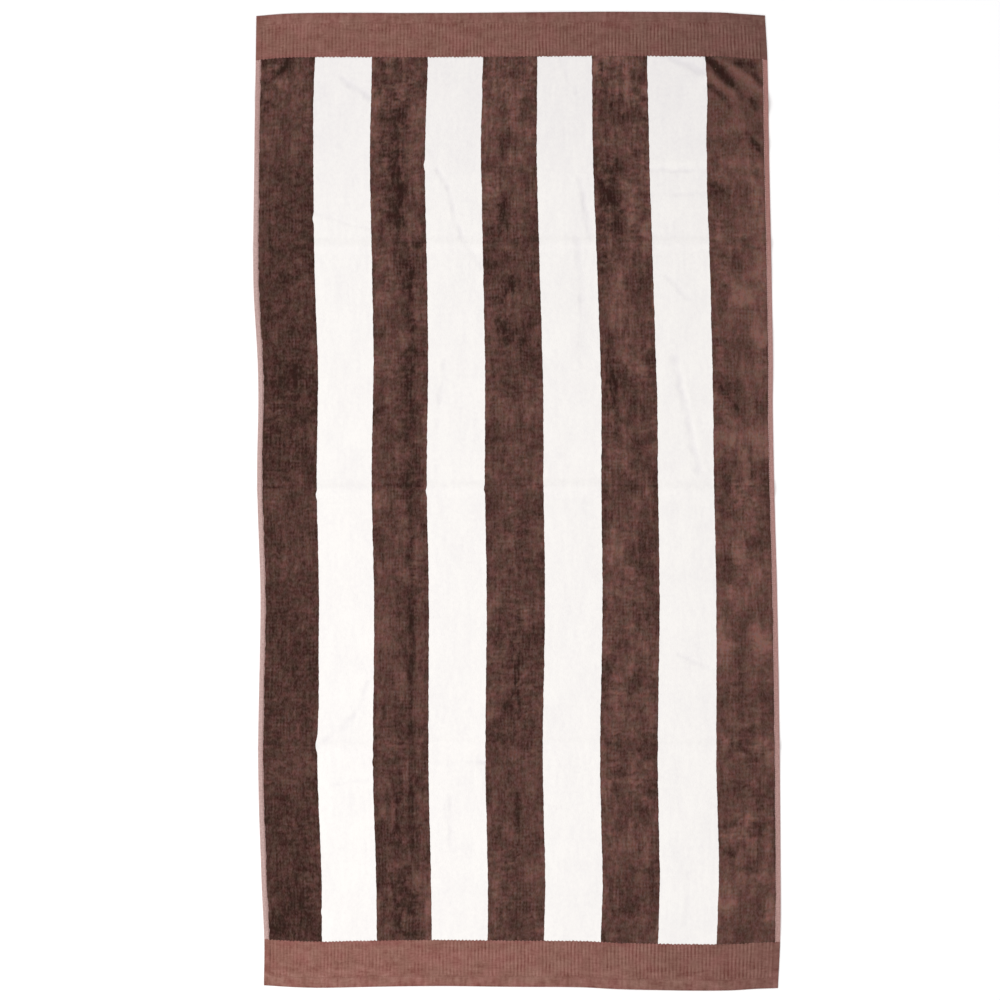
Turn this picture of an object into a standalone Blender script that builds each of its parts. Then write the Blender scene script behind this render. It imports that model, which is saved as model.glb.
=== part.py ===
"""Beach towel, 90 x 170 cm, laid out flat with its face up.

One woven piece: nine lengthwise stripes of cut pile, a flat-woven strip along each side, and at
each end a ribbed border with a plain turned hem. Places on the cloth are given as it was woven:
u runs across from the left edge and v along from the near end. laid() takes them to the floor,
where the sides wander, the ends bow and the packing folds still stand a little proud.
"""

from bisect import bisect_right
from math import ceil, cos, inf, pi

import bmesh
import bpy
from mathutils import Vector, noise

# Driving dimensions, in metres.
WIDTH = 0.900
LENGTH = 1.700
STRIPES = 9
SIDE_HEM = 0.008
NEAR_BORDER = 0.0815
FAR_BORDER = 0.078
END_HEM = 0.019
RIB_MARGIN = 0.011
RIBS = 141
RIB_END = 0.002

# Heights of the face above the underside.
PILE_TOP = 0.0030
BORDER_TOP = 0.0014
RIB_RISE = 0.0006
END_HEM_TOP = 0.0022
SIDE_HEM_TOP = 0.0020
EDGE_TOP = 0.0011

# Widths over which the face rounds off at an edge, and steps from one height to the next.
ROUND = 0.0012
STEP = 0.0010
SAME_PLACE = 1e-6

# Largest cells of the lattice that carries the folds: over the field, and at the far right corner.
FIELD_CELL = 0.040
CORNER_CELL = 0.0125
CORNER_DEPTH = 0.145

# How far the laid cloth is shifted to the right of its woven place, at each section along it.
# The columns after the first stand at the places across the cloth that SHIFT_ACROSS names.
STRIPE = (WIDTH - 2 * SIDE_HEM) / STRIPES
SHIFT_ACROSS = (0.0, *(SIDE_HEM + STRIPE * k for k in (1, 3, 5, 7)), WIDTH)
SHIFTS = (
    # along, left edge, after stripe 1, after 3, after 5, after 7, right edge
    (0.000, 0.0089, 0.0035, -0.0009, -0.0019, 0.0005, 0.0048),
    (0.083, 0.0094, 0.0037, -0.0009, -0.0019, 0.0005, 0.0087),
    (0.187, 0.0045, 0.0033, -0.0026, 0.0002, 0.0033, 0.0095),
    (0.397, -0.0012, -0.0040, -0.0068, -0.0042, -0.0003, 0.0080),
    (0.676, 0.0028, -0.0014, -0.0063, -0.0003, 0.0030, 0.0037),
    (0.885, -0.0030, -0.0052, -0.0100, -0.0030, 0.0000, -0.0019),
    (1.020, -0.0009, -0.0033, -0.0092, -0.0031, -0.0009, -0.0042),
    (1.094, -0.0021, -0.0033, -0.0084, -0.0047, -0.0035, -0.0038),
    (1.235, -0.0095, -0.0085, -0.0097, -0.0090, -0.0080, -0.0060),
    (1.443, -0.0080, -0.0110, -0.0132, -0.0146, -0.0148, -0.0103),
    (1.622, -0.0055, -0.0077, -0.0078, -0.0138, -0.0188, -0.0135),
    (1.700, -0.0045, -0.0070, -0.0078, -0.0138, -0.0188, -0.0178),
)

# Where the two end edges lie, at sections across the cloth.
ENDS = (
    # across, near edge, far edge
    (0.000, -0.8440, 0.8455),
    (0.050, -0.8470, 0.8495),
    (0.105, -0.8484, 0.8508),
    (0.180, -0.8470, 0.8510),
    (0.315, -0.8454, 0.8508),
    (0.450, -0.8468, 0.8518),
    (0.560, -0.8475, 0.8526),
    (0.620, -0.8505, 0.8531),
    (0.740, -0.8533, 0.8526),
    (0.820, -0.8530, 0.8518),
    (0.860, -0.8505, 0.8493),
    (0.900, -0.8490, 0.8465),
)

# Folds and wrinkles that stand proud of the floor, from one place on the cloth to another. The
# lattice has lines on the crest and feet of the packing folds, and small cells at the corner.
CROSS_FOLDS = (
    # from across, along, to across, along, half width, rise
    (0.000, 0.868, 0.900, 0.872, 0.018, 0.0026),
    (0.000, 1.292, 0.900, 1.300, 0.016, 0.0018),
    (0.000, 0.418, 0.900, 0.424, 0.016, 0.0018),
)
LENGTH_FOLDS = (
    (0.254, 1.610, 0.268, 0.090, 0.020, 0.0020),
    (0.614, 1.610, 0.628, 0.090, 0.017, 0.0022),
)
WRINKLES = (
    (0.816, 1.617, 0.896, 1.545, 0.021, 0.0042),  # far right corner, outer
    (0.806, 1.580, 0.890, 1.478, 0.021, 0.0038),  # far right corner, inner
    (0.010, 1.560, 0.060, 1.618, 0.030, 0.0022),  # far left corner
    (0.240, 0.050, 0.400, 0.046, 0.030, 0.0014),  # near border, left
    (0.540, 0.046, 0.690, 0.052, 0.030, 0.0016),  # near border, right
)
FOLD_WANDER = 0.004
FOLD_UNEVENNESS = 0.6
UNEVEN_LENGTH = 0.12
UNEVEN_LAYERS = (0.4, 0.9, 1.4)

# Colour, roughness and metallic value of each material of the cloth.
BROWN_PILE, WHITE_PILE, BORDER_WEAVE, SIDE_WEAVE = range(4)
MATERIALS = (
    ("brown pile", (0.098, 0.048, 0.038), 0.95, 0.0),
    ("white pile", (0.930, 0.905, 0.880), 0.95, 0.0),
    ("border weave", (0.270, 0.125, 0.100), 0.85, 0.0),
    ("side weave", (0.520, 0.330, 0.290), 0.85, 0.0),
)


def through(places, values, at):
    """Reads a smooth curve that passes through values at the rising places."""
    last = len(places) - 2
    k = min(max(bisect_right(places, at) - 1, 0), last)

    def slope(j):
        low, high = max(j - 1, 0), min(j + 1, last + 1)
        return (values[high] - values[low]) / (places[high] - places[low])

    span = places[k + 1] - places[k]
    t = (at - places[k]) / span
    start = (1 + 2 * t) * (1 - t) ** 2 * values[k] + t * (1 - t) ** 2 * span * slope(k)
    stop = t * t * (3 - 2 * t) * values[k + 1] - t * t * (1 - t) * span * slope(k + 1)
    return start + stop


def column(table, k):
    return [row[k] for row in table]


def shift(u, v):
    """How far the laid cloth stands to the right of its woven place."""
    along = column(SHIFTS, 0)
    across = [through(along, column(SHIFTS, k + 1), v) for k in range(len(SHIFT_ACROSS))]
    return through(SHIFT_ACROSS, across, u)


def rise(u, v):
    """How far the folds lift the cloth off the floor."""
    grains = [Vector((u, v, layer)) / UNEVEN_LENGTH for layer in UNEVEN_LAYERS]
    wander_u, wander_v, uneven = (noise.noise(grain) for grain in grains)
    place = Vector((u, v)) + FOLD_WANDER * Vector((wander_u, wander_v))
    lifted = 0.0
    for u0, v0, u1, v1, half_width, height in CROSS_FOLDS + LENGTH_FOLDS + WRINKLES:
        start, run = Vector((u0, v0)), Vector((u1 - u0, v1 - v0))
        along = min(max((place - start).dot(run) / run.length_squared, 0), 1)
        away = (place - start - run * along).length / half_width
        if away < 1:
            lifted = max(lifted, height * (1 + cos(pi * away)) / 2)
    return lifted * (1 + FOLD_UNEVENNESS * uneven)


def laid(u, v, height):
    """The point on the floor's axes of a place on the cloth, height above the underside."""
    across = column(ENDS, 0)
    near, far = (through(across, column(ENDS, k), u) for k in (1, 2))
    return Vector((u - WIDTH / 2 + shift(u, v), near + (far - near) * v / LENGTH, rise(u, v) + height))


def border_at(v):
    return NEAR_BORDER if v < LENGTH / 2 else FAR_BORDER


def face_height(u, v):
    """Height of the face, stepping between lattice lines that stand STEP or ROUND apart."""
    side, end = min(u, WIDTH - u), min(v, LENGTH - v)
    in_border = end < border_at(v) + STEP / 2
    if min(side, end) < ROUND / 2:
        return EDGE_TOP
    if side < (RIB_MARGIN - STEP / 2 if in_border else SIDE_HEM + STEP / 2):
        return SIDE_HEM_TOP
    if end < END_HEM - STEP / 2:
        return END_HEM_TOP
    return BORDER_TOP if in_border else PILE_TOP


def material_at(u, v):
    """Index of the material at a place on the cloth."""
    if min(v, LENGTH - v) < border_at(v):
        return BORDER_WEAVE
    if min(u, WIDTH - u) < SIDE_HEM:
        return SIDE_WEAVE
    stripe = int((u - SIDE_HEM) / STRIPE)
    return WHITE_PILE if stripe % 2 else BROWN_PILE


def spaced(stops, largest):
    """The rising stops, with even marks between any two that are more than largest apart."""
    marks = [stops[0]]
    for start, stop in zip(stops, stops[1:]):
        parts = ceil((stop - start - SAME_PLACE) / largest)
        marks += [start + (stop - start) * k / parts for k in range(1, parts + 1)]
    return marks


def lines_on(folds, k):
    """Places of the crest and the two feet of each fold, across the cloth or, with k 1, along it."""
    return [(fold[k] + fold[k + 2]) / 2 + fold[4] * side for fold in folds for side in (-1, 0, 1)]


def lattice_columns():
    """Places across the cloth of the lattice lines that folds and stripes need."""
    stripes = [SIDE_HEM + STRIPE * k for k in range(STRIPES + 1)]
    inner = sorted(stripes[:-1] + lines_on(LENGTH_FOLDS, 0))
    corner = spaced(stripes[-2:], CORNER_CELL)[1:]
    return [0.0, *spaced(inner, FIELD_CELL), *corner, WIDTH]


def lattice_rows():
    """Places along the cloth of the lattice lines that folds, hems and borders need."""
    field_start, field_stop = NEAR_BORDER + STEP, LENGTH - FAR_BORDER - STEP
    corner_start = LENGTH - FAR_BORDER - CORNER_DEPTH
    inner = sorted([field_start, *lines_on(CROSS_FOLDS, 1), corner_start])
    corner = spaced([corner_start, field_stop], CORNER_CELL)[1:]
    return [0.0, END_HEM, *spaced(inner, FIELD_CELL), *corner, LENGTH - END_HEM, LENGTH]


def face_columns():
    """The lattice columns, with those on which the side strips round off and step."""
    steps = [ROUND, SIDE_HEM + STEP, RIB_MARGIN]
    return sorted([*lattice_columns(), *steps, *(WIDTH - place for place in steps)])


def face_rows():
    """The lattice rows, with those on which the hems and borders round off and step."""
    near = [ROUND, END_HEM - STEP, NEAR_BORDER]
    far = [ROUND, END_HEM - STEP, FAR_BORDER]
    return sorted([*lattice_rows(), *near, *(LENGTH - place for place in far)])


def rib_rows(border):
    """Distances from the end of the rows that carry the ribs."""
    start, stop = END_HEM + RIB_END, border - RIB_END
    return [start, (start + stop) / 2, stop]


def add_row(bm, v, places, height_of):
    """Adds one row of points across the cloth, as (place, point) pairs."""
    return [(u, bm.verts.new(laid(u, v, height_of(u, v)))) for u in places]


def add_rib_row(bm, v, columns):
    """Adds a row whose points zigzag over the ribs, between the plain side strips."""
    pitch = (WIDTH - 2 * RIB_MARGIN) / (2 * RIBS)
    points = [(RIB_MARGIN + pitch * k, BORDER_TOP + RIB_RISE * (k % 2)) for k in range(2 * RIBS + 1)]
    plain = [(u, face_height(u, v)) for u in columns if min(u, WIDTH - u) < RIB_MARGIN - STEP / 2]
    return [(u, bm.verts.new(laid(u, v, height))) for u, height in sorted(points + plain)]


def join(bm, first, second, material_of):
    """Joins two rows of (place, point) pairs, by quads where places match and else by triangles."""
    i = j = 0
    while i < len(first) - 1 or j < len(second) - 1:
        next_first = first[i + 1][0] if i < len(first) - 1 else inf
        next_second = second[j + 1][0] if j < len(second) - 1 else inf
        step_first = next_first < next_second + SAME_PLACE
        step_second = next_second < next_first + SAME_PLACE
        middle = (max(first[i][0], second[j][0]) + min(next_first, next_second)) / 2
        corners = second[j : j + 1 + step_second] + first[i : i + 1 + step_first][::-1]
        face = bm.faces.new(point for _, point in corners)
        face.material_index = material_of(middle)
        i += step_first
        j += step_second


def add_surface(bm, rows):
    """Joins rows, given as (place along, points) pairs, into one surface."""
    for (v0, first), (v1, second) in zip(rows, rows[1:]):
        join(bm, first, second, lambda u: material_at(u, (v0 + v1) / 2))


def cloth_mesh():
    """The towel as one closed mesh: ribbed face, underside, and the edge all round."""
    bm = bmesh.new()
    columns, under_columns = face_columns(), lattice_columns()
    ribs = [*rib_rows(NEAR_BORDER), *(LENGTH - place for place in rib_rows(FAR_BORDER))]
    face = [(v, add_row(bm, v, columns, face_height)) for v in face_rows()]
    face += [(v, add_rib_row(bm, v, columns)) for v in ribs]
    face.sort(key=lambda row: row[0])
    under = [(v, add_row(bm, v, under_columns, lambda u, v: 0.0)) for v in lattice_rows()]
    add_surface(bm, face)
    add_surface(bm, under)

    for end in (0, -1):
        join(bm, face[end][1], under[end][1], lambda u: BORDER_WEAVE)
        face_side = [(v, points[end][1]) for v, points in face]
        under_side = [(v, points[end][1]) for v, points in under]
        join(bm, face_side, under_side, lambda v: material_at(0.0, v))

    bmesh.ops.recalc_face_normals(bm, faces=bm.faces)
    mesh = bpy.data.meshes.new("towel")
    bm.to_mesh(mesh)
    bm.free()
    return mesh


def material(name, colour, roughness, metallic):
    made = bpy.data.materials.new(name)
    made.use_nodes = True
    shader = made.node_tree.nodes["Principled BSDF"]
    shader.inputs["Base Color"].default_value = (*colour, 1.0)
    shader.inputs["Roughness"].default_value = roughness
    shader.inputs["Metallic"].default_value = metallic
    made.diffuse_color = (*colour, 1.0)
    return made


def main():
    for old in list(bpy.data.objects):
        bpy.data.objects.remove(old, do_unlink=True)
    collection = bpy.data.collections.new("beach towel")
    bpy.context.scene.collection.children.link(collection)

    mesh = cloth_mesh()
    for values in MATERIALS:
        mesh.materials.append(material(*values))
    collection.objects.link(bpy.data.objects.new("towel", mesh))


main()
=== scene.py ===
"""Looks of the beach towel: its woven ground and ribbed borders, the cut pile of its nine stripes,
the hems' stitches, the floor, the light and the camera.

Places on the cloth are given as it was woven: u runs across from the left edge and v along from
the near end, both in metres. laid() takes them to the floor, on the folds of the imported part. The
rows of tables give places and sizes in millimetres, and shares and leans without a unit.
"""

from math import pi, radians

import bpy
import numpy as np
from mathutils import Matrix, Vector, noise


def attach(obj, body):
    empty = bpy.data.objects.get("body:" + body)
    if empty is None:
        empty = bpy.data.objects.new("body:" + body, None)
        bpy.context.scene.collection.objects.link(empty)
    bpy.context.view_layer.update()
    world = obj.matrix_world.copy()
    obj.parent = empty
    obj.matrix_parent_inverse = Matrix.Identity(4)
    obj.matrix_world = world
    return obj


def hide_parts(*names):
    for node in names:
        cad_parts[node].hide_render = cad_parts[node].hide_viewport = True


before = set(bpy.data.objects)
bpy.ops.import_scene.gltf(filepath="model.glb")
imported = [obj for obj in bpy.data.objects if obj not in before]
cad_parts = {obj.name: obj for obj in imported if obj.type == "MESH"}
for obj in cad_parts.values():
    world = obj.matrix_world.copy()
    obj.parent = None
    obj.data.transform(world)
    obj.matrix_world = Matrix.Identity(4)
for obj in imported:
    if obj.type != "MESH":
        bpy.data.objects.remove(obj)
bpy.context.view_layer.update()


def millimetres(*sizes):
    """Turns sizes, or rows of sizes, that a table gives in millimetres into metres."""
    return np.array(sizes) / 1000


# The towel as it was woven and sewn, in metres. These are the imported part's own sizes.
WIDTH = 0.900
LENGTH = 1.700
STRIPES = 9
SIDE_HEM = 0.008
NEAR_BORDER = 0.0815
FAR_BORDER = 0.078
END_HEM = 0.019
RIB_MARGIN = 0.011
RIBS = 141
STRIPE = (WIDTH - 2 * SIDE_HEM) / STRIPES
RIB_PITCH = (WIDTH - 2 * RIB_MARGIN) / RIBS
PILE_END = LENGTH - FAR_BORDER
PILE_LENGTH = PILE_END - NEAR_BORDER

# Heights above the underside, and how far in from their edges the pile and the hems are rounded.
PILE_TOP = 0.0030
PILE_ROOT = 0.0016
GROUND_TOP = 0.0009
GROUND_UNDER = 0.0004
BORDER_TOP = 0.0014
RIB_RISE = 0.0005
END_HEM_TOP = 0.0022
SIDE_HEM_TOP = 0.0021
EDGE_TOP = 0.0009
PILE_ROUND = 0.0014
SIDE_ROUND = 0.0030
END_ROUND = 0.0025

# How far the laid cloth is shifted to the right of its woven place, at each section along it.
SHIFT_ACROSS = (0.0, *(SIDE_HEM + STRIPE * k for k in (1, 3, 5, 7)), WIDTH)
SHIFTS = millimetres(
    # along, left edge, after stripe 1, after 3, after 5, after 7, right edge
    (0, 8.9, 3.5, -0.9, -1.9, 0.5, 4.8),
    (83, 9.4, 3.7, -0.9, -1.9, 0.5, 8.7),
    (187, 4.5, 3.3, -2.6, 0.2, 3.3, 9.5),
    (397, -1.2, -4, -6.8, -4.2, -0.3, 8),
    (676, 2.8, -1.4, -6.3, -0.3, 3, 3.7),
    (885, -3, -5.2, -10, -3, 0, -1.9),
    (1020, -0.9, -3.3, -9.2, -3.1, -0.9, -4.2),
    (1094, -2.1, -3.3, -8.4, -4.7, -3.5, -3.8),
    (1235, -9.5, -8.5, -9.7, -9, -8, -6),
    (1443, -8, -11, -13.2, -14.6, -14.8, -10.3),
    (1622, -5.5, -7.7, -7.8, -13.8, -18.8, -13.5),
    (1700, -4.5, -7, -7.8, -13.8, -18.8, -17.8),
)

# Where the two end edges lie, at sections across the cloth.
ENDS = millimetres(
    # across, near edge, far edge
    (0, -844, 845.5),
    (50, -847, 849.5),
    (105, -848.4, 850.8),
    (180, -847, 851),
    (315, -845.4, 850.8),
    (450, -846.8, 851.8),
    (560, -847.5, 852.6),
    (620, -850.5, 853.1),
    (740, -853.3, 852.6),
    (820, -853, 851.8),
    (860, -850.5, 849.3),
    (900, -849, 846.5),
)

# Folds and wrinkles that lift the cloth off the floor.
FOLDS = millimetres(
    # from across, along, to across, along, half width, rise
    (0, 868, 900, 872, 18, 2.6),  # packing folds across
    (0, 1292, 900, 1300, 16, 1.8),
    (0, 418, 900, 424, 16, 1.8),
    (254, 1610, 268, 90, 20, 2),  # packing folds along
    (614, 1610, 628, 90, 17, 2.2),
    (816, 1617, 896, 1545, 21, 4.2),  # far right corner, outer
    (806, 1580, 890, 1478, 21, 3.8),  # far right corner, inner
    (10, 1560, 60, 1618, 30, 2.2),  # far left corner
    (240, 50, 400, 46, 30, 1.4),  # near border, left
    (540, 46, 690, 52, 30, 1.6),  # near border, right
)
# How the folds wander and vary, and how high the cloth's soft waves and raised edges are.
FOLD_WANDER = 0.004
FOLD_UNEVENNESS = 0.6
UNEVEN_LENGTH = 0.12
UNEVEN_LAYERS = (0.4, 0.9, 1.4)
SLOW_CELL = 0.020
WAVE_RISE = 0.0007
EDGE_CURL = 0.0010
CURL_WIDTH = 0.025

# Fine creases in the face alone: troughs where the last number is negative, ridges elsewhere.
CREASE_WANDER = 0.0022
LOWEST_CREASE = 0.0013
CREASES = millimetres(
    # from across, along, to across, along, half width, rise
    (0, 872, 900, 876, 2.8, -0.12),  # half fold
    (600, 1297, 900, 1300, 3, -0.3),  # far quarter fold
    (254, 1600, 268, 100, 3, -0.3),  # lengthwise folds
    (614, 1600, 628, 100, 3, -0.3),
    (135, 1598, 170, 1574, 8.1, -0.8),  # first white stripe
    (170, 1574, 204, 1551, 9.5, -1.2),
    (110, 1352, 150, 1336, 6.8, -0.9),
    (150, 1336, 205, 1322, 6.8, -0.7),
    (198, 533, 175, 477, 9.5, -1.1),
    (175, 477, 138, 441, 10.8, -1),
    (138, 441, 109, 422, 10.8, -1.1),
    (131, 354, 195, 361, 6.1, -0.5),
    (311, 1462, 326, 1425, 8.1, -0.7),  # second white stripe, one bent line
    (326, 1425, 343, 1394, 8.1, -0.9),
    (343, 1394, 364, 1310, 8.1, -1),
    (364, 1310, 399, 1256, 8.1, -0.9),
    (331, 1094, 317, 945, 8.1, -0.7),
    (355, 395, 399, 390, 5.4, -1.1),
    (322, 865, 340, 762, 6.8, -0.6),
    (339, 334, 337, 238, 6.8, -0.6),
    (540, 1616, 567, 1560, 8.1, -1.2),  # third white stripe
    (574, 1407, 588, 1311, 9.5, -1.1),
    (564, 1309, 571, 1201, 10.8, -0.7),
    (571, 1201, 567, 1083, 10.8, -0.6),
    (738, 1620, 790, 1595, 10.8, -1.3),  # fourth white stripe
    (696, 1436, 792, 1437, 9.5, 0.6),
    (696, 1425, 792, 1424, 6.1, -0.9),
    (695, 1383, 791, 1386, 6.8, -0.5),
    (719, 1241, 756, 1203, 8.1, -0.9),
    (728, 1100, 765, 905, 12.2, -0.9),
    (741, 1085, 778, 905, 8.1, 0.5),
    (775, 839, 758, 757, 8.1, -0.5),
    (731, 583, 778, 562, 6.8, -0.7),
    (727, 336, 737, 297, 6.8, -0.6),
    (745, 205, 742, 113, 9.5, -0.9),
    (796, 1622, 846, 1575, 7, -1.4),  # far right corner
    (846, 1575, 889, 1522, 7, -1.4),
    (798, 1568, 830, 1544, 6, -1),
    (863, 1492, 888, 1459, 6, -1),
    (875, 1428, 899, 1360, 7, -0.7),
    (12, 1578, 61, 1619, 6, -0.8),  # far left corner
    (246, 34, 387, 32, 6, -0.5),  # near border
    (527, 33, 600, 30, 6, -0.5),
    (600, 42, 665, 38, 6, -0.5),
    (0, 59, 66, 42, 6, -0.6),
    (745, 46, 860, 44, 7, -0.5),
    (120, 52, 190, 47, 6, -0.4),
)

# How light the nap lies on each brown stripe, from 0, leaning away from the light, to 1. Partly painted
# sheen: the stripes further to the right are lighter, as their nap catches the light.
BASE_NAP_AND_SHEEN = {1: 0.23, 3: 0.36, 5: 0.41, 7: 0.41, 9: 0.54}
# How uneven the nap of each brown stripe is: its soft lumps, and its fine streaks.
NAP_UNEVENNESS = {1: (0.60, 0.80), 3: (1.00, 0.92), 5: (1.00, 0.98), 7: (1.25, 1.02), 9: (1.45, 0.88)}
# How much further the uneven nap strays to the light side than to the dark.
LIGHT_SKEW = 0.65
NAP_LUMPS = (
    # across, along, size of the change
    (9, 40, 0.12),
    (26, 15, 0.13),
    (22, 30, 0.15),
    (35, 60, 0.17),
)
NAP_STREAKS = (
    # across, along, size of the change
    (3, 4.5, 0.08),
    (3.2, 24, 0.16),
    (13, 3.4, 0.14),
    (6.5, 14, 0.12),
)
NAP_LINES = (
    # across, along, size of the change: thin curved lines round lumps of this size
    (8, 13, 0.2),
    (12, 9, -0.18),
)
LINE_WIDTH = 0.16
# Broad light and dark parts of the brown stripes, and how far they reach from a stripe's middle.
NAP_PARTS = (
    # stripe, along, half length, lean
    (1, 1380, 240, 0.12),
    (1, 1289, 5, -0.26),
    (1, 1117, 24, 0.26),
    (1, 1070, 110, -0.24),
    (1, 925, 40, -0.16),
    (1, 868, 80, 0.1),
    (1, 745, 40, 0.22),
    (1, 145, 45, -0.17),
    (3, 1495, 70, -0.2),
    (3, 1356, 80, -0.1),
    (3, 1225, 22, -0.2),
    (5, 1480, 40, 0.22),
    (5, 1356, 80, 0.16),
    (5, 1160, 50, -0.14),
    (5, 876, 35, 0.2),
    (5, 680, 30, 0.26),
    (5, 623, 90, -0.24),
    (5, 465, 45, -0.32),
    (5, 379, 90, 0.2),
    (7, 1155, 56, 0.44),
    (7, 1110, 90, -0.18),
    (7, 838, 40, 0.22),
    (7, 665, 40, 0.22),
    (7, 235, 48, 0.36),
    (9, 1356, 80, 0.2),
    (9, 1112, 80, 0.12),
    (9, 868, 80, -0.2),
    (9, 623, 80, 0.17),
    (9, 379, 80, -0.15),
    (9, 385, 20, 0.22),
    (9, 266, 40, -0.22),
)
PART_HALF_WIDTH = 45  # millimetres, as in the table
# Smaller marks that handling leaves on them.
NAP_MARKS = (
    # stripe, across it from 0 to 1, along, half width, half length, lean
    (1, 0.17, 1495, 12, 60, 0.25),
    (1, 0.57, 1238, 18, 14, -0.25),
    (1, 0.77, 388, 12, 20, 0.25),
    (1, 0.24, 105, 18, 16, -0.25),
    (1, 0.14, 1606, 6, 8, 0.35),
    (1, 0.37, 1577, 11, 7, 0.35),
    (1, 0.13, 1562, 9, 6, 0.3),
    (1, 0.14, 1579, 6, 4, -0.3),
    (1, 0.16, 1547, 4, 4, -0.35),
    (1, 0.25, 1542, 4, 4, -0.35),
    (3, 0.81, 1460, 17, 157, 0.22),
    (3, 0.16, 1565, 9, 9, -0.35),
    (3, 0.12, 1520, 9, 16, -0.28),
    (3, 0.54, 1408, 9, 87, -0.32),
    (3, 0.55, 1340, 9, 9, -0.35),
    (3, 0.85, 1296, 7, 5, -0.4),
    (3, 0.7, 1077, 9, 226, -0.28),
    (3, 0.69, 632, 7, 183, -0.28),
    (3, 0.29, 1164, 22, 105, 0.15),
    (3, 0.24, 855, 12, 12, 0.22),
    (3, 0.29, 623, 19, 122, 0.15),
    (3, 0.84, 588, 9, 87, 0.22),
    (3, 0.17, 410, 13, 30, 0.25),
    (3, 0.79, 423, 13, 20, 0.25),
    (3, 0.45, 301, 8, 60, -0.3),
    (3, 0.7, 301, 8, 60, -0.28),
    (3, 0.45, 135, 36, 52, -0.26),
    (3, 0.43, 153, 5, 5, 0.45),
    (3, 0.4, 215, 6, 4, 0.35),
    (3, 0.94, 135, 6, 45, 0.35),
    (5, 0.17, 1495, 13, 122, 0.25),
    (5, 0.43, 1469, 8, 26, -0.4),
    (5, 0.38, 1342, 9, 34, -0.4),
    (5, 0.46, 1226, 14, 18, -0.42),
    (5, 0.32, 1160, 8, 40, -0.32),
    (5, 0.56, 1124, 18, 16, -0.2),
    (5, 0.53, 571, 6, 70, -0.32),
    (5, 0.54, 300, 6, 44, -0.32),
    (5, 0.13, 188, 9, 35, 0.3),
    (7, 0.16, 1582, 7, 35, -0.4),
    (7, 0.34, 1533, 5, 9, -0.35),
    (7, 0.5, 1514, 12, 9, -0.25),
    (7, 0.75, 1405, 22, 45, 0.14),
    (7, 0.25, 1378, 13, 83, -0.25),
    (7, 0.16, 1403, 6, 6, -0.4),
    (7, 0.32, 1373, 6, 6, -0.12),
    (7, 0.28, 1340, 12, 16, -0.25),
    (7, 0.49, 1354, 5, 5, -0.4),
    (7, 0.16, 1265, 9, 26, -0.28),
    (7, 0.44, 1436, 6, 6, -0.35),
    (7, 0.92, 1427, 4, 6, -0.35),
    (7, 0.62, 1377, 6, 4, 0.3),
    (7, 0.64, 1399, 5, 4, 0.3),
    (7, 0.6, 1354, 5, 4, 0.3),
    (7, 0.18, 1085, 8, 65, -0.34),
    (7, 0.32, 1035, 18, 35, -0.2),
    (7, 0.64, 1355, 18, 52, 0.15),
    (7, 0.57, 1050, 21, 95, 0.16),
    (7, 0.14, 719, 8, 130, 0.22),
    (7, 0.16, 240, 9, 87, 0.2),
    (7, 0.54, 501, 7, 30, -0.35),
    (7, 0.52, 205, 13, 35, -0.25),
    (9, 0.4, 1490, 32, 38, -0.15),
    (9, 0.91, 1592, 9, 16, -0.28),
    (9, 0.2, 1395, 17, 13, -0.42),
    (9, 0.2, 1328, 15, 9, -0.28),
    (9, 0.24, 1225, 6, 6, -0.35),
    (9, 0.88, 1228, 7, 8, -0.25),
    (9, 0.17, 1130, 12, 12, -0.25),
    (9, 0.87, 1425, 20, 35, 0.15),
    (9, 0.77, 1164, 17, 52, 0.15),
    (9, 0.14, 964, 16, 26, 0.15),
    (9, 0.15, 615, 17, 26, 0.15),
    (9, 0.22, 1042, 17, 18, -0.22),
)
MARK_STRENGTH = 0.85
# Painted highlights and painted shade where the cloth is bent: light lines along the ridges of the
# folds and dark ones along their troughs.
NAP_STROKES = (
    # from across, along, to across, along, half width, lean
    (795, 1624, 818, 1598, 14, -0.78),  # far right corner: outer trough
    (818, 1598, 840, 1576, 15, -0.9),
    (840, 1576, 854, 1553, 11, -0.55),
    (871, 1551, 878, 1536, 10, -0.45),
    (814, 1618, 840, 1604, 8, 0.25),  # its outer ridge
    (840, 1604, 863, 1587, 12, 0.55),
    (863, 1587, 884, 1567, 14, 0.58),
    (884, 1567, 892, 1553, 10, 0.3),
    (803, 1589, 818, 1573, 10, 0.42),  # its inner ridge
    (818, 1573, 840, 1560, 11, 0.42),
    (840, 1560, 856, 1545, 10, 0.25),
    (800, 1571, 812, 1562, 9, -0.5),  # its inner trough
    (812, 1562, 827, 1549, 9, -0.5),
    (827, 1549, 834, 1535, 9, -0.4),
    (851, 1613, 872, 1611, 15, -0.72),  # the patch outside both
    (864, 1606, 880, 1590, 11, -0.5),
    (880, 1590, 888, 1578, 8, -0.25),
    (863, 1492, 888, 1459, 9, -0.4),
    (875, 1428, 899, 1360, 9, -0.22),
    (852, 1297, 884, 1291, 4, -0.3),  # short dark lines in the last stripe
    (808, 1048, 836, 1011, 7, -0.34),
    (33, 1589, 54, 1607, 7, -0.4),  # far left corner
    (54, 1607, 57, 1622, 6, -0.35),
    (0, 873, 900, 877, 3, -0.13),  # half fold, dark on its far side
    (0, 868, 900, 872, 3.5, 0.08),
    (0, 1296, 900, 1304, 3, -0.08),
    (0, 422, 900, 428, 3, -0.08),
)
# Packing folds across, where the nap lies in fine crosswise rows.
ROW_BANDS = millimetres(
    # along, half width
    (423, 12),
    (872, 20),
    (1298, 14),
)
ROW_STRENGTH = 0.14
# How much lighter the nap lies near the far end.
FAR_LIGHT = 0.09

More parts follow.
